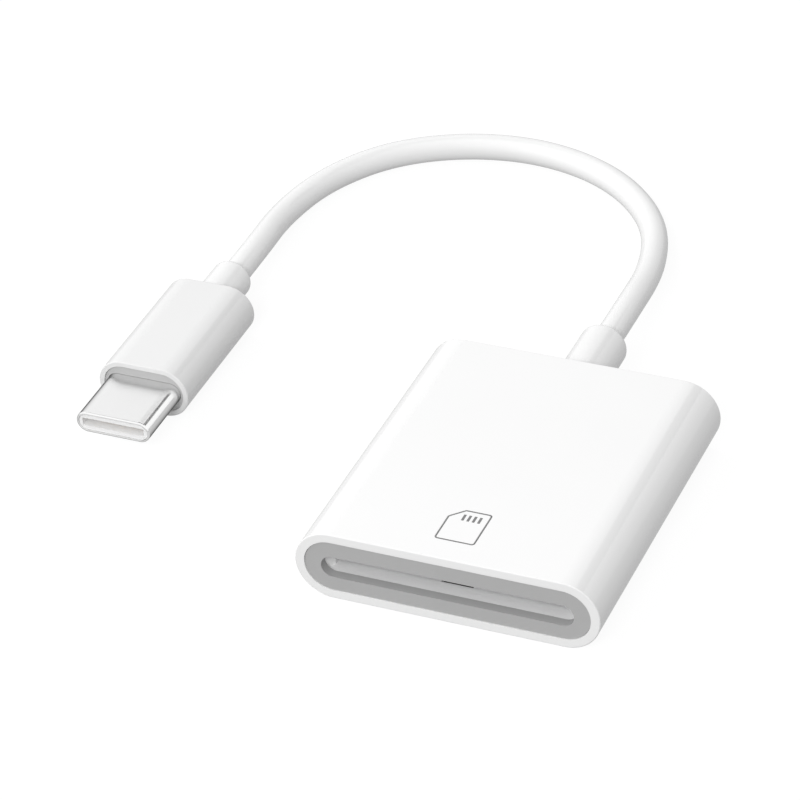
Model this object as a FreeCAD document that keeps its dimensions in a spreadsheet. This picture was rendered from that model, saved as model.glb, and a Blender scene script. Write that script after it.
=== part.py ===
import FreeCAD, Part
import math
import os
import Sketcher

# Memory card reader on a short cord with a small round-ended plug.
# Millimetres, +Z up, slot towards -Y, origin under the middle of the housing.

Vector = FreeCAD.Vector
doc = FreeCAD.newDocument("CardReader")
sizes = doc.addObject("Spreadsheet::Sheet", "Sizes")
layout = doc.addObject("Spreadsheet::Sheet", "Layout")


def fill(sheet, cells):
    """Write one named cell on each row of the sheet."""
    for row, (name, text) in enumerate(cells.items(), 1):
        sheet.set("A%d" % row, name)
        sheet.set("B%d" % row, text)
        sheet.setAlias("B%d" % row, name)


# Driving sizes: the card, the walls around it and the stack under it
SIZES = {
    "card_width": 24.0,
    "card_thick": 2.1,
    "slot_side_gap": 0.9,
    "slot_face_gap": 0.13,
    "bezel_margin": 1.7,
    "bezel_thick": 1.0,
    "bezel_recess": 0.1,
    "bezel_gap": 0.03,
    "housing_wall": 0.95,
    "rear_wall": 1.4,
    "edge_bevel": 0.08,
    "rail_height": 0.2,
    "rail_width": 1.2,
    "rail_place": 8.0,
    "rib_gap": 0.05,
    "head_room": 1.5,
    "board_thick": 0.8,
    "board_width": 25.2,
    "board_gap": 0.2,
    "board_inset": 0.4,
    "board_corner": 1.0,
    "board_clear": 0.3,
    "base_floor": 0.5,
    "base_wall": 1.0,
    "base_back": 1.1,
    "base_gap": 0.05,
    "floor_drop": 0.05,
    "channel_gap": 0.3,
    "flare_depth": 1.0,
    "insert_depth": 24.0,
    "window_width": 3.3,
    "window_depth": 2.8,
    "window_length": 12.0,
    "cover_gap": 0.05,
    "cover_thick": 0.2,
    "cover_inset": 0.5,
    "cover_window": 7.0,
    "tab_width": 1.4,
    "tab_place": 11.2,
    "contact_pitch": 2.5,
    "last_pitch": 1.7,
    "contact_width": 0.6,
    "contact_room": 0.15,
    "strip_thick": 0.15,
    "contact_foot": 1.2,
    "contact_rise": 0.15,
    "crest_back": 3.2,
    "crest_half": 0.35,
    "crest_lift": 0.5,
    "contact_tip": 0.7,
    "leaf_room": 0.3,
    "leaf_gap": 0.02,
    "leaf_length": 5.0,
    "leaf_height": 1.2,
    "leaf_lift": 0.7,
    "detect_back": 6.0,
    "protect_back": 14.0,
    "rear_bay": 8.3,
    "chip_side": 4.0,
    "chip_height": 0.85,
    "chip_bevel": 0.1,
    "crystal_length": 3.2,
    "crystal_width": 2.5,
    "crystal_height": 0.7,
    "passive_length": 1.0,
    "passive_width": 0.5,
    "passive_height": 0.45,
    "device_gap": 0.4,
    "stub_diameter": 5.1,
    "stub_length": 8.95,
    "stub_round": 0.7,
    "neck_diameter": 4.0,
    "neck_gap": 0.02,
    "flange_thick": 1.1,
    "flange_gap": 0.1,
    "cable_diameter": 2.9,
    "cable_lead": 6.0,
    "jacket_gap": 0.02,
    "jacket_tail": 0.8,
    "wire_diameter": 0.75,
    "wire_spread": 0.45,
    "wire_lift": 0.02,
    "plug_x": -42.7,
    "plug_y": 5.15,
    "shell_width": 8.25,
    "shell_height": 2.4,
    "shell_out": 7.2,
    "shell_in": 5.0,
    "shell_wall": 0.25,
    "shell_round": 0.2,
    "collar_side": 0.355,
    "collar_over": 1.08,
    "collar_thick": 2.0,
    "collar_recess": 0.2,
    "collar_gap": 0.02,
    "plug_wall": 0.57,
    "plug_length": 16.5,
    "plug_rear_wall": 1.0,
    "plug_bevel": 0.08,
    "insulator_inset": 0.12,
    "insulator_in": 4.6,
    "mouth_width": 6.9,
    "pin_pitch": 0.5,
    "pin_width": 0.25,
    "pin_tail": 7.0,
    "pin_front": 1.4,
    "pin_dip": 0.15,
    "latch_thick": 0.2,
    "latch_height": 0.4,
    "plug_board_thick": 0.6,
    "plug_board_width": 8.2,
    "tongue_width": 6.0,
    "tongue_front": -1.0,
    "shoulder_gap": 0.3,
    "plug_stub_diameter": 4.4,
    "plug_stub_length": 5.8,
    "plug_neck_diameter": 3.6,
    "plug_flange_thick": 0.8,
}

# Counts that the card and plug standards fix
EVEN_CONTACTS = 8
PLUG_PINS = 12

# How near two places count as one, and how much of a run its bend may take up
NEAR = 0.001
BEND_SHARE = 0.45

# Sides of a wire's section, which is enough where nobody sees it
WIRE_SIDES = 8

# Places that follow from the driving sizes
LAYOUT = {
    "slot_width": "Sizes.card_width + 2 * Sizes.slot_side_gap",
    "slot_height": "Sizes.card_thick + 2 * Sizes.slot_face_gap",
    "board_low": "Sizes.housing_wall + Sizes.rail_height",
    "board_top": "board_low + Sizes.board_thick",
    "card_floor": "board_top + Sizes.base_floor",
    "slot_low": "card_floor + Sizes.floor_drop",
    "slot_mid": "slot_low + slot_height / 2",
    "base_top": "slot_low + slot_height + Sizes.cover_gap",
    "cover_top": "base_top + Sizes.cover_thick",
    "roof": "cover_top + Sizes.head_room",
    "body_height": "roof + Sizes.housing_wall",
    "cavity_height": "body_height - 2 * Sizes.housing_wall",
    "mid_z": "body_height / 2",
    "round_reach": "sqrt((cavity_height / 2)^2 - (mid_z - board_low)^2)",
    "board_room": "Sizes.board_width + 2 * Sizes.board_gap + cavity_height - 2 * round_reach",
    "cavity_width": "max(slot_width + 2 * Sizes.bezel_margin; board_room)",
    "body_width": "cavity_width + 2 * Sizes.housing_wall",
    "body_length": "Sizes.insert_depth + Sizes.base_back + Sizes.rear_bay + Sizes.rear_wall",
    "rear": "body_length / 2",
    "front": "-body_length / 2",
    "bezel_front": "front + Sizes.bezel_recess",
    "bezel_back": "bezel_front + Sizes.bezel_thick",
    "base_front": "bezel_back + Sizes.base_gap",
    "stop_y": "front + Sizes.insert_depth",
    "base_rear": "stop_y + Sizes.base_back",
    "rear_inner": "rear - Sizes.rear_wall",
    "channel_half": "Sizes.card_width / 2 + Sizes.channel_gap",
    "base_half": "channel_half + Sizes.base_wall",
    "skirt_in": "base_half + Sizes.cover_gap",
    "skirt_out": "skirt_in + Sizes.cover_thick",
    "contact_first": "-((%d - 1) * Sizes.contact_pitch + Sizes.last_pitch) / 2" % EVEN_CONTACTS,
    "contact_last": "-contact_first",
    "crest_y": "stop_y - Sizes.crest_back",
    "crest_z": "card_floor + Sizes.crest_lift",
    "tip_y": "crest_y - Sizes.crest_half - Sizes.contact_tip",
    "leaf_x": "-channel_half - Sizes.leaf_room + Sizes.leaf_gap",
    "flange_diameter": "cavity_height - 2 * Sizes.flange_gap",
    "jacket_end": "rear_inner - Sizes.flange_thick - Sizes.jacket_tail",
    "board_front": "bezel_back + Sizes.board_inset",
    "board_rear": "jacket_end - Sizes.board_clear",
    "device_column": "Sizes.board_width / 2 - Sizes.board_corner - Sizes.passive_length / 2",
    "device_step": "Sizes.passive_length / 2 + Sizes.device_gap",
    "chip_x": "device_column - device_step - Sizes.chip_side / 2",
    "crystal_x": "device_column - device_step - Sizes.crystal_length / 2",
    "stub_end": "rear + Sizes.stub_length",
    "plug_cavity_width": "Sizes.shell_width + 2 * Sizes.collar_side",
    "plug_cavity_height": "Sizes.shell_height + 2 * Sizes.collar_over",
    "plug_width": "plug_cavity_width + 2 * Sizes.plug_wall",
    "plug_height": "plug_cavity_height + 2 * Sizes.plug_wall",
    "plug_z": "plug_height / 2",
    "plug_inner": "Sizes.plug_length - Sizes.plug_rear_wall",
    "shell_bore_width": "Sizes.shell_width - 2 * Sizes.shell_wall",
    "shell_bore_height": "Sizes.shell_height - 2 * Sizes.shell_wall",
    "mouth_height": "Sizes.plug_board_thick + 2 * Sizes.strip_thick",
    "insulator_front": "-Sizes.shell_out + Sizes.insulator_inset",
    "pin_front_y": "insulator_front + Sizes.pin_front",
    "pin_first": "-(%d - 1) * Sizes.pin_pitch / 2" % PLUG_PINS,
    "plug_jacket_end": "plug_inner - Sizes.plug_flange_thick - Sizes.jacket_tail",
    "plug_wire_end": "Sizes.pin_tail + 2 * Sizes.passive_length",
    "plug_board_rear": "plug_wire_end + Sizes.passive_length",
    "plug_flange_diameter": "plug_cavity_height - 2 * Sizes.flange_gap",
    "plug_stub_end": "Sizes.plug_length + Sizes.plug_stub_length",
}
fill(sizes, {name: str(size) for name, size in SIZES.items()})
fill(layout, {name: "=" + formula for name, formula in LAYOUT.items()})
doc.recompute()


def number(text):
    """Value of an expression on the two sheets."""
    return float(sizes.evalExpression(text))


def plane_of(body, role):
    """One of the body's own origin planes."""
    for feature in body.Origin.OriginFeatures:
        if feature.Role == role:
            return feature


def new_body(name, place=("0", "0", "0")):
    """Body that becomes one piece, standing at a place given by three expressions."""
    body = doc.addObject("PartDesign::Body", name)
    body.Label = name
    for axis, text in zip("xyz", place):
        body.setExpression("Placement.Base." + axis, text)
    return body


def new_sketch(body, role, offset):
    """Empty sketch on a plane of the body, moved along the sketch's own axes."""
    sketch = body.newObject("Sketcher::SketchObject", body.Name + "_sketch")
    sketch.AttachmentSupport = [(plane_of(body, role), "")]
    sketch.MapMode = "FlatFace"
    for axis, text in zip("xyz", offset):
        sketch.setExpression("AttachmentOffset.Base." + axis, text)
    return sketch


def bind(sketch, constraint, text):
    """Add a dimension to the sketch and tie it to an expression."""
    index = sketch.addConstraint(constraint)
    sketch.setExpression("Constraints[%d]" % index, text)


def across(body, y, z="0"):
    """Sketch square to the Y axis: its x is X, its y is Z."""
    return new_sketch(body, "XZ_Plane", ("0", z, "-(%s)" % y))


def level(body, z):
    """Sketch lying flat at a height."""
    return new_sketch(body, "XY_Plane", ("0", "0", z))


def side(body, x):
    """Sketch square to the X axis: its x is Y, its y is Z."""
    return new_sketch(body, "YZ_Plane", ("0", "0", x))


def stadium(sketch, width, height):
    """Round-ended outline about the sketch's origin."""
    radius = number(height) / 2
    reach = number(width) / 2 - radius
    up = Vector(0, 0, 1)
    quarter = math.pi / 2
    right = Part.Circle(Vector(reach, 0, 0), up, radius)
    left = Part.Circle(Vector(-reach, 0, 0), up, radius)
    sketch.addGeometry(Part.LineSegment(Vector(-reach, radius, 0), Vector(reach, radius, 0)))
    sketch.addGeometry(Part.ArcOfCircle(right, -quarter, quarter))
    sketch.addGeometry(Part.LineSegment(Vector(reach, -radius, 0), Vector(-reach, -radius, 0)))
    sketch.addGeometry(Part.ArcOfCircle(left, quarter, 3 * quarter))
    sketch.addConstraint(Sketcher.Constraint("Tangent", 0, 2, 1, 2))
    sketch.addConstraint(Sketcher.Constraint("Tangent", 1, 1, 2, 1))
    sketch.addConstraint(Sketcher.Constraint("Tangent", 2, 2, 3, 2))
    sketch.addConstraint(Sketcher.Constraint("Tangent", 3, 1, 0, 1))
    sketch.addConstraint(Sketcher.Constraint("Equal", 1, 3))
    sketch.addConstraint(Sketcher.Constraint("Horizontal", 0))
    sketch.addConstraint(Sketcher.Constraint("Symmetric", 1, 3, 3, 3, -1, 1))
    bind(sketch, Sketcher.Constraint("Radius", 1, radius), "(%s) / 2" % height)
    bind(sketch, Sketcher.Constraint("DistanceX", 3, 3, 1, 3, 2 * reach), "(%s) - (%s)" % (width, height))
    return sketch


def outline(sketch, points):
    """Closed outline of straight edges through points that are pairs of expressions."""
    first = sketch.GeometryCount
    count = len(points)
    spots = [Vector(number(x), number(y), 0) for x, y in points]
    for i in range(count):
        sketch.addGeometry(Part.LineSegment(spots[i], spots[(i + 1) % count]))
    for i in range(count):
        sketch.addConstraint(Sketcher.Constraint("Coincident", first + i, 2, first + (i + 1) % count, 1))
    for i, (x, y) in enumerate(points):
        bind(sketch, Sketcher.Constraint("DistanceX", -1, 1, first + i, 1, spots[i].x), x)
        bind(sketch, Sketcher.Constraint("DistanceY", -1, 1, first + i, 1, spots[i].y), y)
    return sketch


def rectangle(sketch, x0, x1, y0, y1):
    """Rectangle between four expressions."""
    return outline(sketch, [(x0, y0), (x1, y0), (x1, y1), (x0, y1)])


def strip(sketch, path, thick):
    """Outline of a bent strip: its lower line and the same line raised by the thickness."""
    upper = [(x, "%s + %s" % (y, thick)) for x, y in reversed(path)]
    return outline(sketch, path + upper)


def circle(sketch, diameter):
    """Circle about the sketch's origin."""
    radius = number(diameter) / 2
    sketch.addGeometry(Part.Circle(Vector(0, 0, 0), Vector(0, 0, 1), radius))
    sketch.addConstraint(Sketcher.Constraint("Coincident", 0, 3, -1, 1))
    bind(sketch, Sketcher.Constraint("Diameter", 0, 2 * radius), diameter)
    return sketch


def pad(body, sketch, length, reverse=False, both=False):
    """Raise a sketch; reverse sends a sketch square to Y towards the rear."""
    feature = body.newObject("PartDesign::Pad", body.Name + "_pad")
    feature.Profile = sketch
    feature.setExpression("Length", length)
    feature.Reversed = reverse
    if both:
        feature.SideType = "Symmetric"
    return feature


def pocket(body, sketch, length=None):
    """Cut a sketch in, towards the rear or down; with no length it goes right through."""
    feature = body.newObject("PartDesign::Pocket", body.Name + "_pocket")
    feature.Profile = sketch
    if length:
        feature.setExpression("Length", length)
    else:
        feature.Type = "ThroughAll"
    return feature


def row(body, original, sketch, axis, count, spacing):
    """Repeat one feature along an axis of its sketch."""
    feature = body.newObject("PartDesign::LinearPattern", body.Name + "_row")
    feature.Originals = [original]
    feature.Direction = (sketch, [axis])
    feature.Mode = "Spacing"
    feature.setExpression("Offset", spacing)
    feature.Occurrences = count
    body.Tip = feature
    return feature


def mirrored(body, originals, role):
    """Repeat features on the other side of one of the body's planes."""
    feature = body.newObject("PartDesign::Mirrored", body.Name + "_mirror")
    feature.Originals = originals
    feature.MirrorPlane = (plane_of(body, role), [""])
    body.Tip = feature
    return feature


def edges_of(body, wanted):
    """The body's last feature and the names of its edges that a test picks by their box."""
    doc.recompute()
    names = []
    for i, edge in enumerate(body.Tip.Shape.Edges, 1):
        if wanted(edge.BoundBox):
            names.append("Edge%d" % i)
    return body.Tip, names


def round_edges(body, radius, wanted):
    """Round the edges that a test picks."""
    base = edges_of(body, wanted)
    feature = body.newObject("PartDesign::Fillet", body.Name + "_round")
    feature.Base = base
    feature.setExpression("Radius", radius)


def bevel_edges(body, size, wanted):
    """Bevel the edges that a test picks."""
    base = edges_of(body, wanted)
    feature = body.newObject("PartDesign::Chamfer", body.Name + "_bevel")
    feature.Base = base
    feature.setExpression("Size", size)


def at_y(text, half_height, middle="0"):
    """Test for edges that lie in one plane square to Y and reach a height from the middle."""
    y = number(text)
    low = number("%s - (%s)" % (middle, half_height))
    high = number("%s + (%s)" % (middle, half_height))

    def wanted(box):
        flat = abs(box.YMin - y) < NEAR and abs(box.YMax - y) < NEAR
        return flat and (abs(box.ZMin - low) < NEAR or abs(box.ZMax - high) < NEAR)
    return wanted


def rounded_route(points):
    """Straight runs joined by tangent arcs, as one wire, with the arcs' radii."""
    edges = []
    radii = []
    start = points[0]
    for before, corner, after in zip(points, points[1:], points[2:]):
        inward = (before - corner).normalize()
        outward = (after - corner).normalize()
        half_turn = (math.pi - inward.getAngle(outward)) / 2
        reach = BEND_SHARE * min((before - corner).Length, (after - corner).Length)
        radius = reach / math.tan(half_turn)
        bisector = (inward + outward).normalize()
        centre = corner + bisector * math.hypot(reach, radius)
        middle = centre - bisector * radius
        entry = corner + inward * reach
        leave = corner + outward * reach
        edges.append(Part.LineSegment(start, entry).toShape())
        edges.append(Part.Arc(entry, middle, leave).toShape())
        radii.append(radius)
        start = leave
    edges.append(Part.LineSegment(start, points[-1]).toShape())
    return Part.Wire(edges), radii


def wire(name, points):
    """Wire with mitred bends that starts along Y."""
    section = doc.addObject("Part::RegularPolygon", name + "_section")
    section.Polygon = WIRE_SIDES
    section.setExpression("Circumradius", "Sizes.wire_diameter / 2")
    section.Placement = FreeCAD.Placement(points[0], FreeCAD.Rotation(Vector(1, 0, 0), 90))
    path = doc.addObject("Part::Polygon", name + "_path")
    path.Nodes = points
    doc.recompute()
    piece = doc.addObject("Part::Sweep", name)
    piece.Label = name
    piece.Sections = [section]
    piece.Spine = (path, ["Edge%d" % i for i in range(1, len(points))])
    piece.Solid = True
    piece.Transition = "Right corner"
    return piece


def jacket(name, place, end, far):
    """End of the cable's jacket, a plain cylinder along Y between two expressions."""
    piece = doc.addObject("Part::Cylinder", name)
    piece.Label = name
    piece.Placement.Rotation = FreeCAD.Rotation(Vector(1, 0, 0), -90)
    piece.setExpression("Radius", "Sizes.cable_diameter / 2")
    piece.setExpression("Height", "(%s) - (%s)" % (far, end))
    piece.setExpression("Placement.Base.x", place[0])
    piece.setExpression("Placement.Base.y", "%s + %s" % (place[1], end))
    piece.setExpression("Placement.Base.z", place[2])
    return piece


def chip_block(name, x, y, low, length, width, height):
    """Small rectangular device, centred on x and y, standing at a height."""
    block = doc.addObject("Part::Box", name)
    block.setExpression("Length", length)
    block.setExpression("Width", width)
    block.setExpression("Height", height)
    block.setExpression("Placement.Base.x", "%s - %s / 2" % (x, length))
    block.setExpression("Placement.Base.y", "%s - %s / 2" % (y, width))
    block.setExpression("Placement.Base.z", low)
    return block


def group(name, blocks):
    """Several separate solids as one piece."""
    piece = doc.addObject("Part::Compound", name)
    piece.Label = name
    piece.Links = blocks
    return piece


pieces = []

# Housing: sleeve with full round sides, board rails, hold-down ribs and a cable hole
housing = new_body("housing")
pieces.append(housing)
sleeve = stadium(across(housing, "Layout.front", "Layout.mid_z"), "Layout.body_width", "Layout.body_height")
pad(housing, sleeve, "Layout.body_length", reverse=True)
hollow_plane = across(housing, "Layout.front", "Layout.mid_z")
hollow = stadium(hollow_plane, "Layout.cavity_width", "Layout.cavity_height")
pocket(housing, hollow, "Layout.body_length - Sizes.rear_wall")
bevel_edges(housing, "Sizes.edge_bevel", at_y("Layout.front", "Layout.body_height / 2", "Layout.mid_z"))
bevel_edges(housing, "Sizes.edge_bevel", at_y("Layout.rear", "Layout.body_height / 2", "Layout.mid_z"))
rails = across(housing, "Layout.bezel_back")
inner = "Sizes.rail_place - Sizes.rail_width / 2"
outer = "Sizes.rail_place + Sizes.rail_width / 2"
half_wall = "Sizes.housing_wall / 2"
rectangle(rails, inner, outer, half_wall, "Layout.board_low")
rectangle(rails, inner, outer, "Layout.cover_top + Sizes.rib_gap", "Layout.body_height - " + half_wall)
rail_pad = pad(housing, rails, "Layout.rear_inner - Layout.bezel_back", reverse=True)
mirrored(housing, [rail_pad], "YZ_Plane")
hole_plane = across(housing, "Layout.rear_inner", "Layout.mid_z")
hole = circle(hole_plane, "Sizes.neck_diameter + 2 * Sizes.neck_gap")
pocket(housing, hole)

# Front bezel: plate with the card slot, set against the ends of the rails and ribs
bezel = new_body("front_bezel")
pieces.append(bezel)
plate = stadium(
    across(bezel, "Layout.bezel_front", "Layout.mid_z"),
    "Layout.cavity_width - 2 * Sizes.bezel_gap",
    "Layout.cavity_height - 2 * Sizes.bezel_gap",
)
pad(bezel, plate, "Sizes.bezel_thick", reverse=True)
slot_place = across(bezel, "Layout.bezel_front", "Layout.slot_mid")
slot = stadium(slot_place, "Layout.slot_width", "Layout.slot_height")
pocket(bezel, slot)

# Circuit board: lies on the rails, rear corners cut off
board = new_body("circuit_board")
pieces.append(board)
board_half = "Sizes.board_width / 2"
board_in = board_half + " - Sizes.board_corner"
board_shape = outline(level(board, "Layout.board_low"), [
    ("-" + board_half, "Layout.board_front"),
    (board_half, "Layout.board_front"),
    (board_half, "Layout.board_rear - Sizes.board_corner"),
    (board_in, "Layout.board_rear"),
    ("-(" + board_in + ")", "Layout.board_rear"),
    ("-" + board_half, "Layout.board_rear - Sizes.board_corner"),
])
pad(board, board_shape, "Sizes.board_thick")

# Socket base: channel for the card with a flared mouth, a stop wall, contact slots and an open middle
base = new_body("socket_base")
pieces.append(base)
channel = outline(across(base, "Layout.base_front"), [
    ("-Layout.base_half", "Layout.board_top"),
    ("Layout.base_half", "Layout.board_top"),
    ("Layout.base_half", "Layout.base_top"),
    ("Layout.channel_half", "Layout.base_top"),
    ("Layout.channel_half", "Layout.card_floor"),
    ("-Layout.channel_half", "Layout.card_floor"),
    ("-Layout.channel_half", "Layout.base_top"),
    ("-Layout.base_half", "Layout.base_top"),
])
pad(base, channel, "Layout.base_rear - Layout.base_front", reverse=True)
stop = rectangle(
    across(base, "Layout.stop_y"),
    "-Layout.base_half",
    "Layout.base_half",
    "Layout.board_top",
    "Layout.base_top",
)
pad(base, stop, "Sizes.base_back", reverse=True)
flare = outline(level(base, "Layout.base_top"), [
    ("Layout.channel_half", "Layout.base_front"),
    ("Layout.slot_width / 2", "Layout.base_front"),
    ("Layout.channel_half", "Layout.base_front + Sizes.flare_depth"),
])
flare_cut = pocket(base, flare, "Layout.base_top - Layout.card_floor")
mirrored(base, [flare_cut], "YZ_Plane")
window = rectangle(
    level(base, "Layout.card_floor"),
    "-Sizes.window_width / 2",
    "Sizes.window_width / 2",
    "Layout.front + Sizes.window_depth",
    "Layout.front + Sizes.window_depth + Sizes.window_length",
)
pocket(base, window)
for where, count in (("Layout.contact_first", EVEN_CONTACTS), ("Layout.contact_last", 1)):
    comb = rectangle(
        level(base, "Layout.card_floor"),
        where + " - Sizes.contact_width / 2 - Sizes.contact_room",
        where + " + Sizes.contact_width / 2 + Sizes.contact_room",
        "Layout.tip_y - Sizes.contact_room",
        "Layout.base_rear + Sizes.contact_room",
    )
    cut = pocket(base, comb)
    if count > 1:
        row(base, cut, comb, "H_Axis", count, "Sizes.contact_pitch")
for back in ("Sizes.detect_back", "Sizes.protect_back"):
    recess = rectangle(
        level(base, "Layout.base_top"),
        "-Layout.channel_half - Sizes.leaf_room",
        "-Layout.channel_half",
        "Layout.stop_y - %s - Sizes.contact_room" % back,
        "Layout.stop_y - %s + Sizes.leaf_length + Sizes.contact_room" % back,
    )
    pocket(base, recess)

# Socket cover: stamped sheet over the base, two windows and two rear tabs on the board
lid = new_body("socket_cover")
pieces.append(lid)
lid_rear = "Layout.base_rear + Sizes.cover_gap + Sizes.cover_thick"
skirt_low = "Layout.board_top + Sizes.cover_thick"
hood = outline(across(lid, "Layout.base_front + Sizes.cover_inset"), [
    ("-Layout.skirt_out", skirt_low),
    ("-Layout.skirt_in", skirt_low),
    ("-Layout.skirt_in", "Layout.base_top"),
    ("Layout.skirt_in", "Layout.base_top"),
    ("Layout.skirt_in", skirt_low),
    ("Layout.skirt_out", skirt_low),
    ("Layout.skirt_out", "Layout.cover_top"),
    ("-Layout.skirt_out", "Layout.cover_top"),
])
pad(lid, hood, lid_rear + " - Layout.base_front - Sizes.cover_inset", reverse=True)
tab = rectangle(
    across(lid, "Layout.base_rear + Sizes.cover_gap"),
    "Sizes.tab_place - Sizes.tab_width / 2",
    "Sizes.tab_place + Sizes.tab_width / 2",
    "Layout.board_top",
    "Layout.cover_top",
)
tab_pad = pad(lid, tab, "Sizes.cover_thick", reverse=True)
opening = rectangle(
    level(lid, "Layout.cover_top"),
    "Sizes.rail_place - Sizes.cover_window / 2",
    "Sizes.rail_place + Sizes.cover_window / 2",
    "Layout.crest_y - Sizes.cover_window",
    "Layout.crest_y",
)
opening_cut = pocket(lid, opening, "2 * Sizes.cover_thick")
mirrored(lid, [tab_pad, opening_cut], "YZ_Plane")

# Card contacts: nine bowed springs soldered behind the base, one of them set closer
contacts = new_body("card_contacts")
pieces.append(contacts)
spring_path = [
    ("Layout.base_rear + Sizes.contact_foot", "Layout.board_top"),
    ("Layout.base_rear + 2 * Sizes.contact_rise", "Layout.board_top"),
    ("Layout.base_rear - Sizes.contact_rise", "Layout.board_top + Sizes.contact_rise"),
    ("Layout.stop_y", "Layout.board_top + Sizes.contact_rise"),
    ("Layout.crest_y + Sizes.crest_half", "Layout.crest_z"),
    ("Layout.crest_y - Sizes.crest_half", "Layout.crest_z"),
    ("Layout.tip_y", "Layout.crest_z - Sizes.contact_tip / 2"),
]
for where, count in (("Layout.contact_first", EVEN_CONTACTS), ("Layout.contact_last", 1)):
    spring = strip(side(contacts, where), spring_path, "Sizes.strip_thick")
    spring_pad = pad(contacts, spring, "Sizes.contact_width", both=True)
    if count > 1:
        row(contacts, spring_pad, spring, "N_Axis", count, "Sizes.contact_pitch")


def leaf_switch(name, back):
    """Upright leaf in a recess of the base's wall, bowed into the channel, with a tail to the board."""
    leaf = new_body(name)
    first = "Layout.stop_y - " + back
    quarter = "Sizes.leaf_length / 4"
    face = "Layout.leaf_x + Sizes.strip_thick"
    spans = [first, "%s + %s" % (first, quarter), "%s + 2 * %s" % (first, quarter),
             "%s + 3 * %s" % (first, quarter), first + " + Sizes.leaf_length"]
    bow = "Sizes.leaf_lift"
    shape = outline(level(leaf, "Layout.slot_mid - Sizes.leaf_height / 2"), [
        ("Layout.leaf_x", spans[0]),
        (face, spans[0]),
        (face, spans[1]),
        (face + " + " + bow, spans[2]),
        (face, spans[3]),
        (face, spans[4]),
        ("Layout.leaf_x", spans[4]),
        ("Layout.leaf_x", spans[3]),
        ("Layout.leaf_x + " + bow, spans[2]),
        ("Layout.leaf_x", spans[1]),
    ])
    pad(leaf, shape, "Sizes.leaf_height")
    tail = rectangle(level(leaf, "Layout.board_top"), "Layout.leaf_x", face, spans[3], spans[4])
    pad(leaf, tail, "Layout.slot_mid - Layout.board_top")
    return leaf


# Card-detect and write-protect leaves in the left wall of the base
pieces.append(leaf_switch("detect_leaf", "Sizes.detect_back"))
pieces.append(leaf_switch("protect_leaf", "Sizes.protect_back"))

# Controller chip: flat package with bevelled top edges and a corner dimple
chip_place = ("-Layout.chip_x", "Layout.base_rear + Sizes.chip_side", "Layout.board_top")
chip = new_body("controller_chip", chip_place)
pieces.append(chip)
chip_half = "Sizes.chip_side / 2"
package = rectangle(level(chip, "0"), "-" + chip_half, chip_half, "-" + chip_half, chip_half)
pad(chip, package, "Sizes.chip_height")
dimple = level(chip, "Sizes.chip_height")
dimple.setExpression("AttachmentOffset.Base.x", "-Sizes.chip_side / 3")
dimple.setExpression("AttachmentOffset.Base.y", "-Sizes.chip_side / 3")
pocket(chip, circle(dimple, "Sizes.chip_side / 8"), "Sizes.chip_bevel")


def on_chip_top(box):
    """Test for the four long edges of the chip's top."""
    high = abs(box.ZMin - number("Sizes.chip_height")) < NEAR
    return high and max(box.XLength, box.YLength) > number(chip_half)


bevel_edges(chip, "Sizes.chip_bevel", on_chip_top)

# Crystal: low can with rounded corners on the other side of the wires
crystal_place = ("Layout.crystal_x", "Layout.base_rear + Sizes.crystal_length", "Layout.board_top")
crystal = new_body("crystal", crystal_place)
pieces.append(crystal)
can = stadium(level(crystal, "0"), "Sizes.crystal_length", "Sizes.crystal_width")
pad(crystal, can, "Sizes.crystal_height")

# Small devices on the board, on both sides of the chip and the crystal
small_y = "Layout.base_rear + Sizes.crystal_length"
caps = []
edge = "Layout.device_column"
for i, (x, shift) in enumerate((("-" + edge, 1), ("-" + edge, -1), (edge, 1))):
    caps.append(chip_block(
        "capacitor_%d" % (i + 1), x, "%s + %d * Sizes.passive_length" % (small_y, shift),
        "Layout.board_top", "Sizes.passive_length", "Sizes.passive_width", "Sizes.passive_height"))
pieces.append(group("capacitors", caps))
parts = []
by_crystal = "(Layout.crystal_x - Sizes.crystal_length / 2 - Layout.device_step)"
by_chip = "-(Layout.chip_x - Sizes.chip_side / 2 - Layout.device_step)"
for i, (x, shift) in enumerate(((by_crystal, 1), (by_crystal, -1), (by_chip, -1))):
    parts.append(chip_block(
        "resistor_%d" % (i + 1), x, "%s + %d * Sizes.passive_length" % (small_y, shift),
        "Layout.board_top", "Sizes.passive_length", "Sizes.passive_width", "Sizes.passive_height"))
pieces.append(group("resistors", parts))


def strain_relief(name, place, profile, end, outer_diameter):
    """Turned sleeve about Y with its far outer edge rounded."""
    sleeve = new_body(name, place)
    section = outline(level(sleeve, "0"), profile)
    turn = sleeve.newObject("PartDesign::Revolution", name + "_turn")
    turn.Profile = section
    turn.ReferenceAxis = (section, ["V_Axis"])
    turn.Angle = 360
    round_edges(sleeve, "Sizes.stub_round", at_y(end, "%s / 2" % outer_diameter))
    return sleeve


# Reader strain relief: flange inside the rear wall, neck through it, sleeve outside
bore = "Sizes.cable_diameter / 2 + Sizes.jacket_gap"
pieces.append(strain_relief("reader_strain_relief", ("0", "0", "Layout.mid_z"), [
    (bore, "Layout.rear_inner - Sizes.flange_thick"),
    ("Layout.flange_diameter / 2", "Layout.rear_inner - Sizes.flange_thick"),
    ("Layout.flange_diameter / 2", "Layout.rear_inner"),
    ("Sizes.neck_diameter / 2", "Layout.rear_inner"),
    ("Sizes.neck_diameter / 2", "Layout.rear"),
    ("Sizes.stub_diameter / 2", "Layout.rear"),
    ("Sizes.stub_diameter / 2", "Layout.stub_end"),
    (bore, "Layout.stub_end"),
], "Layout.stub_end", "Sizes.stub_diameter"))

# End of the cable's jacket inside the reader
pieces.append(jacket("reader_jacket_end", ("0", "0", "Layout.mid_z"), "Layout.jacket_end", "Layout.stub_end"))

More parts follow.
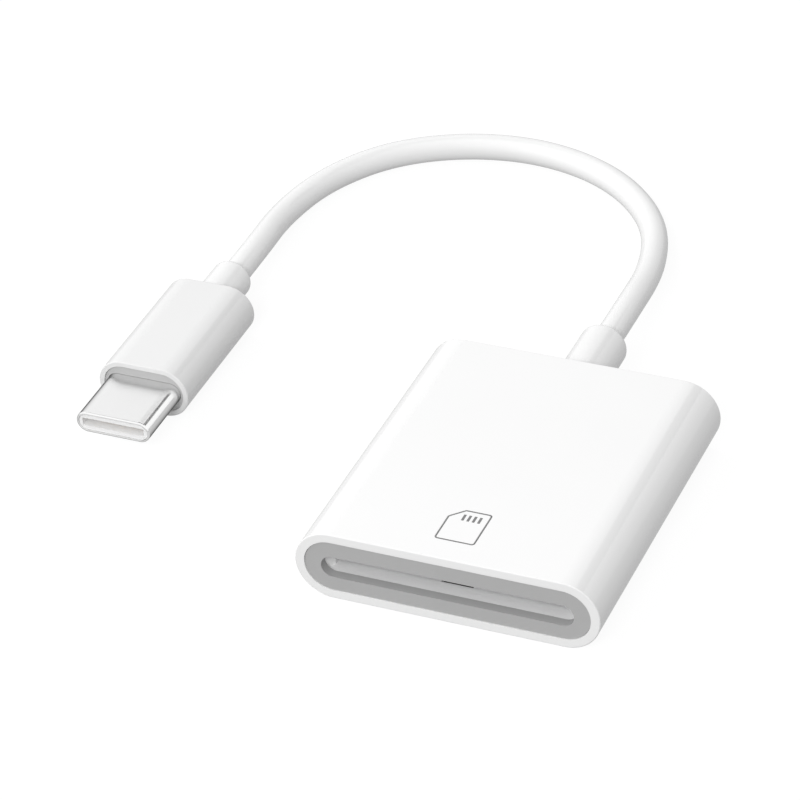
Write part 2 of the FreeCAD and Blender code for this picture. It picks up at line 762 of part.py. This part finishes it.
# Wires from the jacket to the board: the upper two go to the outer pads
spread = number("Sizes.wire_spread")
thick = number("Sizes.wire_diameter")
tail = number("Sizes.jacket_tail")
wire_end = number("Layout.base_rear + 2 * Sizes.contact_foot")
board_wire_z = number("Layout.board_top + Sizes.wire_diameter / 2 + Sizes.wire_lift")
wire_start = number("Layout.jacket_end")
middle = number("Layout.mid_z")
for name, across_side, height, pitches in (
        ("wire_power", -1, 1, 4), ("wire_data_minus", -1, -1, 1.5),
        ("wire_data_plus", 1, -1, 1.5), ("wire_ground", 1, 1, 4)):
    x = across_side * spread
    z = middle + height * spread
    pad_x = across_side * thick * pitches
    pieces.append(wire(name, [
        Vector(x, wire_start, z),
        Vector(x, wire_start - tail, z),
        Vector(pad_x, wire_end + 2 * tail, board_wire_z),
        Vector(pad_x, wire_end, board_wire_z),
    ]))

# Plug frame: the middle of the cover's front face, shell towards -Y
plug_place = ("Sizes.plug_x", "Sizes.plug_y", "Layout.plug_z")

# Plug cover: sleeve with full round sides and a closed rear
cover = new_body("plug_cover", plug_place)
pieces.append(cover)
cover_shape = stadium(across(cover, "0"), "Layout.plug_width", "Layout.plug_height")
pad(cover, cover_shape, "Sizes.plug_length", reverse=True)
cover_hollow = stadium(across(cover, "0"), "Layout.plug_cavity_width", "Layout.plug_cavity_height")
pocket(cover, cover_hollow, "Layout.plug_inner")
bevel_edges(cover, "Sizes.plug_bevel", at_y("0", "Layout.plug_height / 2"))
bevel_edges(cover, "Sizes.plug_bevel", at_y("Sizes.plug_length", "Layout.plug_height / 2"))
pocket(cover, circle(across(cover, "Layout.plug_inner"), "Sizes.plug_neck_diameter + 2 * Sizes.neck_gap"))

# Plug collar: closes the cover's mouth around the shell
collar = new_body("plug_collar", plug_place)
pieces.append(collar)
collar_shape = stadium(
    across(collar, "Sizes.collar_recess"),
    "Layout.plug_cavity_width - 2 * Sizes.collar_gap",
    "Layout.plug_cavity_height - 2 * Sizes.collar_gap",
)
pad(collar, collar_shape, "Sizes.collar_thick", reverse=True)
collar_hole = stadium(
    across(collar, "Sizes.collar_recess"),
    "Sizes.shell_width + 2 * Sizes.collar_gap",
    "Sizes.shell_height + 2 * Sizes.collar_gap",
)
pocket(collar, collar_hole)

# Plug shell: drawn steel tube with a rounded tip
shell = new_body("plug_shell", plug_place)
pieces.append(shell)
shell_shape = stadium(across(shell, "-Sizes.shell_out"), "Sizes.shell_width", "Sizes.shell_height")
pad(shell, shell_shape, "Sizes.shell_out + Sizes.shell_in", reverse=True)
mouth_plane = across(shell, "-Sizes.shell_out")
pocket(shell, stadium(mouth_plane, "Layout.shell_bore_width", "Layout.shell_bore_height"))
round_edges(shell, "Sizes.shell_round", at_y("-Sizes.shell_out", "Sizes.shell_height / 2"))

# Plug insulator: fills the shell and leaves the mouth for the socket's tongue
insulator = new_body("plug_insulator", plug_place)
pieces.append(insulator)
insulator_shape = stadium(
    across(insulator, "Layout.insulator_front"),
    "Layout.shell_bore_width - 2 * Sizes.collar_gap",
    "Layout.shell_bore_height - 2 * Sizes.collar_gap",
)
pad(insulator, insulator_shape, "Sizes.insulator_in - Layout.insulator_front", reverse=True)
mouth = rectangle(
    across(insulator, "Layout.insulator_front"),
    "-Sizes.mouth_width / 2",
    "Sizes.mouth_width / 2",
    "-Layout.mouth_height / 2",
    "Layout.mouth_height / 2",
)
pocket(insulator, mouth)


def pin_row(name, bent, resting):
    """Row of pins along the mouth, bent towards the middle near the front."""
    pins = new_body(name, plug_place)
    path = [
        ("Sizes.pin_tail", resting),
        ("Layout.pin_front_y + 4 * Sizes.pin_pitch", resting),
        ("Layout.pin_front_y + 3 * Sizes.pin_pitch", bent),
        ("Layout.pin_front_y + 2 * Sizes.pin_pitch", bent),
        ("Layout.pin_front_y", resting),
    ]
    pin = strip(side(pins, "Layout.pin_first"), path, "Sizes.strip_thick")
    pin_pad = pad(pins, pin, "Sizes.pin_width", both=True)
    row(pins, pin_pad, pin, "N_Axis", PLUG_PINS, "Sizes.pin_pitch")
    return pins


# Upper and lower pins grip the small board between them
pieces.append(pin_row(
    "plug_upper_pins",
    "Sizes.plug_board_thick / 2 - Sizes.pin_dip",
    "Sizes.plug_board_thick / 2"))
pieces.append(pin_row(
    "plug_lower_pins",
    "-Layout.mouth_height / 2 + Sizes.pin_dip",
    "-Layout.mouth_height / 2"))

# Side latches: two springs along the ends of the mouth
latches = new_body("plug_latches", plug_place)
pieces.append(latches)
latch_out = "Sizes.mouth_width / 2"
latch_in = latch_out + " - Sizes.latch_thick"
latch_shape = outline(level(latches, "0"), [
    (latch_in, "Sizes.insulator_in"),
    (latch_out, "Sizes.insulator_in"),
    (latch_out, "Layout.pin_front_y + 2 * Sizes.pin_pitch"),
    (latch_out + " - Sizes.latch_thick", "Layout.pin_front_y + Sizes.pin_pitch"),
    (latch_out, "Layout.pin_front_y"),
    (latch_in, "Layout.pin_front_y"),
    (latch_in + " - Sizes.latch_thick", "Layout.pin_front_y + Sizes.pin_pitch"),
    (latch_in, "Layout.pin_front_y + 2 * Sizes.pin_pitch"),
])
latch_pad = pad(latches, latch_shape, "Sizes.latch_height", both=True)
mirrored(latches, [latch_pad], "YZ_Plane")

# Plug board: narrow tongue between the pins, wider behind the shell
paddle = new_body("plug_board", plug_place)
pieces.append(paddle)
shoulder = "Sizes.shell_in + Sizes.shoulder_gap"
paddle_shape = outline(level(paddle, "-Sizes.plug_board_thick / 2"), [
    ("-Sizes.tongue_width / 2", "Sizes.tongue_front"),
    ("Sizes.tongue_width / 2", "Sizes.tongue_front"),
    ("Sizes.tongue_width / 2", shoulder),
    ("Sizes.plug_board_width / 2", shoulder),
    ("Sizes.plug_board_width / 2", "Layout.plug_board_rear"),
    ("-Sizes.plug_board_width / 2", "Layout.plug_board_rear"),
    ("-Sizes.plug_board_width / 2", shoulder),
    ("-Sizes.tongue_width / 2", shoulder),
])
pad(paddle, paddle_shape, "Sizes.plug_board_thick")

# Resistor that tells the host which way the plug is used
pieces.append(group("plug_resistor", [chip_block(
    "plug_resistor_block",
    "Sizes.plug_x + Sizes.tongue_width / 2",
    "Sizes.plug_y + Sizes.pin_tail + Sizes.passive_length",
    "Layout.plug_z + Sizes.plug_board_thick / 2",
    "Sizes.passive_length", "Sizes.passive_width", "Sizes.passive_height")]))

# Plug strain relief: the reader's sleeve again, smaller
pieces.append(strain_relief("plug_strain_relief", plug_place, [
    (bore, "Layout.plug_inner - Sizes.plug_flange_thick"),
    ("Layout.plug_flange_diameter / 2", "Layout.plug_inner - Sizes.plug_flange_thick"),
    ("Layout.plug_flange_diameter / 2", "Layout.plug_inner"),
    ("Sizes.plug_neck_diameter / 2", "Layout.plug_inner"),
    ("Sizes.plug_neck_diameter / 2", "Sizes.plug_length"),
    ("Sizes.plug_stub_diameter / 2", "Sizes.plug_length"),
    ("Sizes.plug_stub_diameter / 2", "Layout.plug_stub_end"),
    (bore, "Layout.plug_stub_end"),
], "Layout.plug_stub_end", "Sizes.plug_stub_diameter"))

# End of the cable's jacket inside the plug
pieces.append(jacket("plug_jacket_end", plug_place, "Layout.plug_jacket_end", "Layout.plug_stub_end"))

# Wires from the jacket to both faces of the plug board
plug_origin = Vector(number(plug_place[0]), number(plug_place[1]), number(plug_place[2]))
plug_wire_start = number("Layout.plug_jacket_end")
plug_wire_end = number("Layout.plug_wire_end")
plug_wire_z = number("Sizes.plug_board_thick / 2 + Sizes.wire_diameter / 2 + Sizes.wire_lift")
for name, across_side, height in (
        ("plug_wire_power", -1, 1), ("plug_wire_ground", 1, 1),
        ("plug_wire_data_minus", -1, -1), ("plug_wire_data_plus", 1, -1)):
    x = across_side * spread
    pad_x = across_side * 2 * thick
    pad_z = height * plug_wire_z
    pieces.append(wire(name, [
        plug_origin + Vector(x, plug_wire_start, height * spread),
        plug_origin + Vector(x, plug_wire_start - tail, height * spread),
        plug_origin + Vector(pad_x, plug_wire_end + 2 * tail, pad_z),
        plug_origin + Vector(pad_x, plug_wire_end, pad_z),
    ]))

# Cable: straight out of the reader, down to the table, one turn to the left and up to the plug
cable_diameter = number("Sizes.cable_diameter")
cable_lead = number("Sizes.cable_lead")
cable_route = [
    Vector(0, number("Layout.stub_end"), middle),
    Vector(0, number("Layout.stub_end") + cable_lead, middle),
    Vector(-0.8, 43.6, 2.3),
    Vector(-4.2, 53.4, 1.5),
    Vector(-11.2, 60.3, 1.5),
    Vector(-20.3, 63.4, 1.5),
    Vector(-29.3, 62.4, 1.5),
    Vector(-37.2, 58.0, 1.5),
    Vector(-42.1, 50.6, 1.5),
    Vector(-43.7, 42.2, 1.7),
    plug_origin + Vector(0, number("Layout.plug_stub_end") + cable_lead, 0),
    plug_origin + Vector(0, number("Layout.plug_stub_end"), 0),
]
cable_path, cable_radii = rounded_route(cable_route)
cable_ring = Part.Circle(cable_route[0], cable_route[1] - cable_route[0], cable_diameter / 2)
cable = doc.addObject("Part::Feature", "cable")
cable.Label = "cable"
cable.Shape = cable_path.makePipe(Part.Face(Part.Wire(cable_ring.toShape())))
pieces.append(cable)

# Check every object, then write one file for each piece
doc.recompute()
for item in doc.Objects:
    if "Invalid" in item.State or "Error" in item.State:
        raise RuntimeError("failed: " + item.Name)
os.makedirs("parts", exist_ok=True)
for piece in pieces:
    if piece.Shape.isNull() or not piece.Shape.isValid():
        raise RuntimeError("bad shape: " + piece.Label)
    piece.Shape.exportStep("parts/%s.step" % piece.Label)
    print(piece.Label, len(piece.Shape.Solids), round(piece.Shape.Volume, 3))
section = math.pi * cable_diameter ** 2 / 4
print("cable length", round(cable_path.Length, 2), "radii", [round(r, 1) for r in cable_radii])
cable_room = section * cable_path.Length
print("cable volume", round(cable.Shape.Volume, 2), "section by length", round(cable_room, 2))
print("body", number("Layout.body_width"), number("Layout.body_length"), number("Layout.body_height"))
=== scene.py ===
import math

import bpy
from mathutils import Matrix, Vector


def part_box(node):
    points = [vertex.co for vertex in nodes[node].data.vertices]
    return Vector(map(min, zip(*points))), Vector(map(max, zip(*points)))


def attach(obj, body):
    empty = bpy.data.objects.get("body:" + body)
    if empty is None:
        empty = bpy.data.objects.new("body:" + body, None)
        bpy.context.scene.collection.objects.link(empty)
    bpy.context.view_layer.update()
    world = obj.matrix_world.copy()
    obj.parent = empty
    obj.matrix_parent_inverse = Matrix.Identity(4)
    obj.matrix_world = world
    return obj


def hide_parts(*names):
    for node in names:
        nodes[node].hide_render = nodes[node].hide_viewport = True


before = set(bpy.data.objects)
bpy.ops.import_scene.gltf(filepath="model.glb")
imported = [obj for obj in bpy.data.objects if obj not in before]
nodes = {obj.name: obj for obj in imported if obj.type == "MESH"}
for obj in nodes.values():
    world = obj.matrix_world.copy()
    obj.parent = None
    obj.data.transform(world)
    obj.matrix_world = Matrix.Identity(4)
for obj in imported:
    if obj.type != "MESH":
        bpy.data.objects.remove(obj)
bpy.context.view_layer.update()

# Circuit boards: two pieces of glass-fibre laminate, routed to outline and coated with black solder mask.
# The large one lies on rails in the housing, the small one is gripped by the pins inside the plug.
MM = 0.001


def linear(code):
    """Linear colour of an sRGB hex value."""
    parts = [int(code[i:i + 2], 16) / 255 for i in (1, 3, 5)]
    return [p / 12.92 if p <= 0.04045 else ((p + 0.055) / 1.055) ** 2.4 for p in parts] + [1.0]


def empty_tree(owner):
    """Node tree of a material or a world, with nothing in it yet."""
    owner.use_nodes = True
    owner.node_tree.nodes.clear()
    return owner.node_tree


def add(tree, kind, inputs, **settings):
    """Add a node with its settings and feed its sockets with values or with other nodes' sockets."""
    node = tree.nodes.new(kind)
    for name, value in settings.items():
        setattr(node, name, value)
    for socket, value in inputs.items():
        if isinstance(value, bpy.types.NodeSocket):
            tree.links.new(value, node.inputs[socket])
        else:
            node.inputs[socket].default_value = value
    return node


def finish(name, tones, patch, grain, relief, roughness, run=(1, 1, 1), edge=0.0, shader=None):
    """Material with soft patches between two tones and a grain that bumps it; sizes in millimetres.

    The grain also swings the roughness between two values. run stretches the grain along an axis,
    edge is the small radius that a mould leaves on sharp edges, and shader sets more of its sockets.
    """
    material = bpy.data.materials.new(name)
    tree = empty_tree(material)
    place = add(tree, "ShaderNodeTexCoord", {}).outputs["Object"]
    drawn = add(tree, "ShaderNodeMapping", {"Vector": place, "Scale": run})
    cloud = add(tree, "ShaderNodeTexNoise", {"Vector": place, "Scale": 1 / (patch * MM), "Detail": 2.0})
    grit = add(tree, "ShaderNodeTexNoise", {
        "Vector": drawn.outputs["Vector"], "Scale": 1 / (grain * MM), "Detail": 3.0})
    tint = add(tree, "ShaderNodeValToRGB", {"Fac": cloud.outputs["Fac"]})
    for stop, tone in zip(tint.color_ramp.elements, tones):
        stop.color = linear(tone)
    gloss = add(tree, "ShaderNodeMapRange", {
        "Value": grit.outputs["Fac"], "To Min": roughness[0], "To Max": roughness[1]})
    bump = add(tree, "ShaderNodeBump", {"Height": grit.outputs["Fac"], "Distance": relief * MM})
    if edge:
        soft = add(tree, "ShaderNodeBevel", {"Radius": edge * MM}, samples=4)
        tree.links.new(soft.outputs["Normal"], bump.inputs["Normal"])
    body = add(tree, "ShaderNodeBsdfPrincipled", {
        "Base Color": tint.outputs["Color"],
        "Roughness": gloss.outputs["Result"],
        "Normal": bump.outputs["Normal"],
        **(shader or {}),
    })
    add(tree, "ShaderNodeOutputMaterial", {"Surface": body.outputs["BSDF"]})
    return material


def dress(material, *names):
    """Give CAD nodes a finish in place of the plain one they came with."""
    for name in names:
        mesh = nodes[name].data
        mesh.materials.clear()
        mesh.materials.append(material)


# Solder mask: a thin cured lacquer, glossy, that levels over the weave and leaves it faintly uneven
solder_mask = finish(
    "cured_black_solder_mask", ("#1C1D1E", "#252627"), patch=3.0, grain=0.4, relief=0.004,
    roughness=(0.28, 0.4))
dress(solder_mask, "circuit_board", "plug_board")

# Devices on the boards: a controller in a moulded package, resistors, capacitors and a lidded crystal.
# All are soldered flat to the boards.
# Epoxy: filled and matt, with a fine sandy skin from the mould
epoxy = finish(
    "moulded_black_epoxy", ("#151516", "#1F1F20"), patch=0.8, grain=0.12, relief=0.006,
    roughness=(0.55, 0.75))
dress(epoxy, "controller_chip", "resistors", "plug_resistor")
# Ceramic: fired and slightly mottled
ceramic = finish(
    "fired_tan_ceramic", ("#8A6B47", "#A07F58"), patch=0.5, grain=0.1, relief=0.004,
    roughness=(0.45, 0.6))
dress(ceramic, "capacitors")

# Card socket: a moulded channel that takes the card, under a stamped steel cover with two rear tabs.
# Nine bowed contact springs and two leaf switches stand in it; the plug's insulator is the same plastic.
# Liquid crystal polymer: white, matt and faintly grained
socket_white = finish(
    "moulded_matt_white_polymer", ("#FAFAFA", "#FDFDFD"), patch=2.0, grain=0.2, relief=0.004,
    roughness=(0.5, 0.65))
dress(socket_white, "socket_base", "plug_insulator")
# Stamped steel, also on the crystal and the plug's latches: satin, with rolling lines along the strip
rolled = {"Metallic": 1.0}
stamped_steel = finish(
    "stamped_satin_steel", ("#CDCED0", "#D9DADC"), patch=2.0, grain=0.15, relief=0.002,
    roughness=(0.3, 0.45), run=(1, 0.05, 1), shader=rolled)
dress(stamped_steel, "socket_cover", "crystal", "plug_latches")
# Gold flash on spring bronze, also on the plug's pins: warm, bright, slightly uneven
gold_spring = finish(
    "gold_flashed_bronze", ("#D2A24A", "#E3B860"), patch=0.6, grain=0.1, relief=0.001,
    roughness=(0.2, 0.32), shader=rolled)
dress(gold_spring, "card_contacts", "detect_leaf", "protect_leaf", "plug_upper_pins", "plug_lower_pins")

# Wires: four thin stranded leads in extruded insulation, soldered to the boards at both ends of the cord.
# Extruded vinyl: half gloss, one even colour for each lead
for lead, tones in (
        ("power", ("#8E1414", "#A51A1A")), ("ground", ("#141414", "#1D1D1D")),
        ("data_minus", ("#DADADA", "#E4E4E4")), ("data_plus", ("#146B2A", "#1A7F34"))):
    vinyl = finish(
        "extruded_vinyl_" + lead, tones, patch=1.0, grain=0.2, relief=0.002, roughness=(0.35, 0.5))
    dress(vinyl, "wire_" + lead, "plug_wire_" + lead)

# Housing: one moulded sleeve with full round sides, closed at the rear.
# Everything else slides in from the front and is held by the bezel.
# Polished ABS: white, glossy, with the faint waviness of a moulded face in its reflections
gloss_skin = {
    "patch": 9.0, "grain": 1.4, "relief": 0.0004, "roughness": (0.05, 0.09), "edge": 0.1,
    "shader": {"IOR": 1.53}}
gloss_white = finish("moulded_gloss_white_abs", ("#F5F5F5", "#F7F7F7"), **gloss_skin)
dress(gloss_white, "housing")

# Front bezel: a flat plate with the card slot, pressed into the mouth of the housing against its rails.
# Grey ABS from a spark-eroded mould: satin, with a fine even grain drawn coarser here than the real 0.1 mm
satin_skin = {"patch": 2.0, "grain": 0.25, "relief": 0.003, "roughness": (0.42, 0.55)}
satin_grey = finish("moulded_satin_grey_abs", ("#B2B2B2", "#B6B6B6"), **satin_skin)
dress(satin_grey, "front_bezel")

# Sign on the housing: a plain memory card with a cut corner and four contacts, pad-printed near the slot.
# The line runs round a five-sided outline and the contacts are a row of short bars. Sizes in millimetres.
sign_width = 3.95
sign_height = 4.85
sign_cut = 1.3
sign_line = 0.17
sign_corner = sign_line * 1.5
sign_ink = 0.012
# The ink sinks into the plastic by a sixth of its thickness
sign_middle = Vector((-0.1, -12.1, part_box("housing")[1].z / MM + sign_ink / 3))
bar_size = Vector((0.26, 0.95, sign_ink))
bar_gap = 0.55
bar_count = 4
bar_inset = 0.62
first_bar = sign_middle + Vector((
    sign_cut / 4 - bar_gap * (bar_count - 1) / 2, sign_height / 2 - bar_inset - bar_size.y / 2, 0))

# Pad-printing ink: thin, matt and mid grey
grey_ink = finish(
    "printed_grey_ink", ("#7B7B7B", "#828282"), patch=0.6, grain=0.08, relief=0.001,
    roughness=(0.5, 0.65))

sign_tree = bpy.data.node_groups.new("card_sign", "GeometryNodeTree")
sizes = {"Corner": sign_corner, "Line": sign_line, "Ink": sign_ink, "Bar Gap": bar_gap}
sign_tree.interface.new_socket("Outline", in_out="INPUT", socket_type="NodeSocketGeometry")
sign_tree.interface.new_socket("Sign", in_out="OUTPUT", socket_type="NodeSocketGeometry")
for name in sizes:
    sign_tree.interface.new_socket(name, in_out="INPUT", socket_type="NodeSocketFloat")
given = add(sign_tree, "NodeGroupInput", {}).outputs
edge_line = add(sign_tree, "GeometryNodeMeshToCurve", {"Mesh": given["Outline"]})
round_line = add(sign_tree, "GeometryNodeFilletCurve", {
    "Curve": edge_line.outputs["Curve"], "Count": 5, "Radius": given["Corner"]}, mode="POLY")
stroke = add(sign_tree, "GeometryNodeCurvePrimitiveQuadrilateral", {
    "Width": given["Line"], "Height": given["Ink"]})
border = add(sign_tree, "GeometryNodeCurveToMesh", {
    "Curve": round_line.outputs["Curve"], "Profile Curve": stroke.outputs["Curve"]})
step = add(sign_tree, "ShaderNodeCombineXYZ", {"X": given["Bar Gap"]})
row = add(sign_tree, "GeometryNodeMeshLine", {
    "Count": bar_count, "Start Location": first_bar * MM, "Offset": step.outputs["Vector"]})
bar = add(sign_tree, "GeometryNodeMeshCube", {"Size": bar_size * MM})
bars = add(sign_tree, "GeometryNodeInstanceOnPoints", {
    "Points": row.outputs["Mesh"], "Instance": bar.outputs["Mesh"]})
drawing = add(sign_tree, "GeometryNodeJoinGeometry", {"Geometry": bars.outputs["Instances"]})
sign_tree.links.new(border.outputs["Mesh"], drawing.inputs["Geometry"])
solid = add(sign_tree, "GeometryNodeRealizeInstances", {"Geometry": drawing.outputs["Geometry"]})
inked = add(sign_tree, "GeometryNodeSetMaterial", {
    "Geometry": solid.outputs["Geometry"], "Material": grey_ink})
add(sign_tree, "NodeGroupOutput", {"Sign": inked.outputs["Geometry"]})

left, right = -sign_width / 2, sign_width / 2
low, high = -sign_height / 2, sign_height / 2
corners = [(left, low), (right, low), (right, high), (left + sign_cut, high), (left, high - sign_cut)]
outline = bpy.data.meshes.new("card_sign_outline")
outline.from_pydata(
    [(sign_middle + Vector((x, y, 0))) * MM for x, y in corners],
    [(i, (i + 1) % len(corners)) for i in range(len(corners))], [])
sign = bpy.data.objects.new("card_sign", outline)
scene = bpy.context.scene
scene.collection.objects.link(sign)
printing = sign.modifiers.new("printing", "NODES")
printing.node_group = sign_tree
for socket in sign_tree.interface.items_tree:
    if socket.name in sizes:
        printing[socket.identifier] = sizes[socket.name] * MM
printed = bpy.data.meshes.new_from_object(sign.evaluated_get(bpy.context.evaluated_depsgraph_get()))
sign.modifiers.remove(printing)
sign.data = printed
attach(sign, "root")

# Strain reliefs: two sleeves moulded round the ends of the cord, each held by a flange behind a rear wall.
# Thermoplastic elastomer: white, soft, half gloss, with a fine skin
soft_white = finish(
    "moulded_soft_white_elastomer", ("#F2F2F2", "#F5F5F5"), patch=4.0, grain=0.3, relief=0.001,
    roughness=(0.08, 0.13), edge=0.1)
dress(soft_white, "reader_strain_relief", "plug_strain_relief", "reader_jacket_end", "plug_jacket_end")

# Cord: a round jacket over four leads. It leaves the reader level, sinks to the table,
# turns once to the left and comes up into the plug. The points are the solid's own route, in millimetres.
cord_diameter = 2.9
cord_route = [
    (0, 26.35, 3.78), (0, 32.35, 3.78), (-0.8, 43.6, 2.3), (-4.2, 53.4, 1.5),
    (-11.2, 60.3, 1.5), (-20.3, 63.4, 1.5), (-29.3, 62.4, 1.5), (-37.2, 58.0, 1.5),
    (-42.1, 50.6, 1.5), (-43.7, 42.2, 1.7), (-42.7, 33.45, 2.85), (-42.7, 27.45, 2.85),
]
cord_line = bpy.data.curves.new("cord", "CURVE")
cord_line.dimensions = "3D"
spline = cord_line.splines.new("NURBS")
spline.points.add(len(cord_route) - 1)
for point, spot in zip(spline.points, cord_route):
    point.co = (*(Vector(spot) * MM), 1)
spline.order_u = 3
spline.use_endpoint_u = True
cord_line.resolution_u = 24
cord_line.bevel_depth = cord_diameter / 2 * MM
cord_line.bevel_resolution = 10
cord_line.use_fill_caps = True
# Extruded elastomer: the strain reliefs' white, a little more matt, with the even skin that a die leaves
jacket_white = finish(
    "extruded_white_elastomer", ("#F3F3F3", "#F6F6F6"), patch=5.0, grain=0.4, relief=0.0004,
    roughness=(0.12, 0.16))
cord_line.materials.append(jacket_white)
cord = bpy.data.objects.new("cord", cord_line)
scene.collection.objects.link(cord)
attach(cord, "root")
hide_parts("cable")

# Plug cover: a moulded sleeve like the housing's, over the plug's board and the root of its shell.
# The same polished ABS in a slightly greyer white
cover_white = finish("moulded_gloss_pale_abs", ("#EAEAEA", "#ECECEC"), **gloss_skin)
dress(cover_white, "plug_cover")

# Plug collar: a ring pressed into the mouth of the cover, which closes it around the shell.
# The bezel's satin ABS in a paler grey, with the same grain
pale_grey = finish("moulded_satin_pale_grey_abs", ("#C2C2C2", "#C6C6C6"), **satin_skin)
dress(pale_grey, "plug_collar")

# Plug shell: a deep-drawn steel tube with a rounded mouth, plated and tumbled.
# Bright nickel over steel: clear reflections, drawn out along the tube, darker at grazing angles
polished_steel = finish(
    "drawn_bright_steel", ("#FCFCFC", "#FEFEFE"), patch=1.5, grain=0.12, relief=0.00005,
    roughness=(0.17, 0.18), run=(1, 0.03, 1),
    shader={
        "Metallic": 1.0, "Specular Tint": linear("#000000"),
        "Anisotropic": 0.9, "Anisotropic Rotation": 0.25})
# The direction round the tube, across which the reflections are drawn out
tree = polished_steel.node_tree
round_tube = add(tree, "ShaderNodeTangent", {}, direction_type="RADIAL", axis="Y")
tree.links.new(round_tube.outputs["Tangent"], tree.nodes["Principled BSDF"].inputs["Tangent"])
dress(polished_steel, "plug_shell")

# Floor: a sheet of white paper. It shows white to the camera and darker in reflections, as paper that
# lies flat does, sends a little light back up and keeps a faint shadow. Its side is in millimetres.
floor_side = 4000
floor_glow = 0.91
floor_mirror = 0.52
floor_bounce = 0.25


def flat_sheet(name, width, height, material):
    """Rectangle of a material, level and centred on the origin."""
    mesh = bpy.data.meshes.new(name)
    mesh.from_pydata(
        [(x * width / 2 * MM, y * height / 2 * MM, 0) for x, y in ((-1, -1), (1, -1), (1, 1), (-1, 1))],
        [], [(0, 1, 2, 3)])
    mesh.materials.append(material)
    sheet = bpy.data.objects.new(name, mesh)
    scene.collection.objects.link(sheet)
    return sheet


paper = bpy.data.materials.new("white_paper")
tree = empty_tree(paper)
ray = add(tree, "ShaderNodeLightPath", {}).outputs
mirror = add(tree, "ShaderNodeMath", {
    0: ray["Is Glossy Ray"], 1: ray["Is Transmission Ray"]}, operation="MAXIMUM")
dim = add(tree, "ShaderNodeMapRange", {
    "Value": mirror.outputs["Value"], "To Min": floor_bounce, "To Max": floor_mirror})
level = add(tree, "ShaderNodeMix", {
    "Factor": ray["Is Camera Ray"], "A": dim.outputs["Result"], "B": floor_glow})
glow = add(tree, "ShaderNodeEmission", {"Strength": level.outputs["Result"]})
matt = add(tree, "ShaderNodeBsdfDiffuse", {"Color": linear("#616161")})
both = add(tree, "ShaderNodeAddShader", {0: glow.outputs["Emission"], 1: matt.outputs["BSDF"]})
add(tree, "ShaderNodeOutputMaterial", {"Surface": both.outputs["Shader"]})
floor = flat_sheet("floor", floor_side, floor_side, paper)

# Light: a white tent that shows as the background and in gloss, with softboxes in front and to the left.
# The lamps stay out of reflections, so they leave no glints.
# Places and sizes are in millimetres, powers in watts.
surround_fill = 0.57
surround_white = 1.0
studio = bpy.data.worlds.new("studio")
tree = empty_tree(studio)
ray = add(tree, "ShaderNodeLightPath", {}).outputs
mirror = add(tree, "ShaderNodeMath", {
    0: ray["Is Glossy Ray"], 1: ray["Is Transmission Ray"]}, operation="MAXIMUM")
seen = add(tree, "ShaderNodeMath", {
    0: ray["Is Camera Ray"], 1: mirror.outputs["Value"]}, operation="MAXIMUM")
level = add(tree, "ShaderNodeMapRange", {
    "Value": seen.outputs["Value"], "To Min": surround_fill, "To Max": surround_white})
sky = add(tree, "ShaderNodeBackground", {"Color": linear("#FFFFFF"), "Strength": level.outputs["Result"]})
add(tree, "ShaderNodeOutputWorld", {"Surface": sky.outputs["Background"]})
scene.world = studio
scene.view_settings.view_transform = "Standard"


def softbox(name, place, aim, width, height, power):
    """Rectangular lamp turned towards a point, unseen in reflections."""
    lamp = bpy.data.lights.new(name, "AREA")
    lamp.shape = "RECTANGLE"
    lamp.size = width * MM
    lamp.size_y = height * MM
    lamp.energy = power
    stand = bpy.data.objects.new(name, lamp)
    stand.location = Vector(place) * MM
    stand.rotation_euler = (Vector(aim) - Vector(place)).to_track_quat("-Z", "Y").to_euler()
    stand.visible_glossy = False
    scene.collection.objects.link(stand)


middle = (-15, 20, 0)
softbox("front_lamp", (60, -560, 445), middle, width=260, height=160, power=1.97)
softbox("front_left_lamp", (-300, -500, 330), middle, width=260, height=160, power=0.5)
softbox("left_lamp", (-600, -60, 200), middle, width=300, height=200, power=0.75)
softbox("high_left_lamp", (-420, 120, 520), middle, width=300, height=300, power=0.86)

# Flags: two black cards in the tent, one overhead and one behind the object, to its right.
# They show only in reflections, as lines in the glossy sides, the cord and the steel, and shade nothing.
black_card = bpy.data.materials.new("black_card")
tree = empty_tree(black_card)
matt = add(tree, "ShaderNodeBsdfDiffuse", {"Color": linear("#101010")})
add(tree, "ShaderNodeOutputMaterial", {"Surface": matt.outputs["BSDF"]})
for name, place, facing, width, height in (
        ("overhead_flag", (-20, 288, 500), (0, 0, -1), 570, 275),
        ("right_flag", (174, 440, 345), (-308, -395, -139), 240, 133)):
    flag = flat_sheet(name, width, height, black_card)
    flag.location = Vector(place) * MM
    flag.rotation_euler = Vector(facing).to_track_quat("-Z", "Y").to_euler()
    flag.visible_camera = False
    flag.visible_diffuse = False
    flag.visible_shadow = False

# Camera: a long lens in front of the reader, to its right and above, rolled slightly.
# It stands in millimetres from the frame's origin.
camera_place = (117.17, -277.54, 224.18)
azimuth = math.radians(24.861)
elevation = math.radians(34.786)
roll = math.radians(-3.901)
camera = bpy.data.cameras.new("camera")
camera.sensor_width = 36
camera.lens = 171.8
camera.clip_start = 10 * MM
swing = Matrix.Rotation(azimuth, 4, "Z")
tilt = Matrix.Rotation(math.pi / 2 - elevation, 4, "X")
twist = Matrix.Rotation(roll, 4, "Z")
tripod = bpy.data.objects.new("camera", camera)
tripod.matrix_world = Matrix.Translation(Vector(camera_place) * MM) @ swing @ tilt @ twist
scene.collection.objects.link(tripod)
scene.camera = tripod
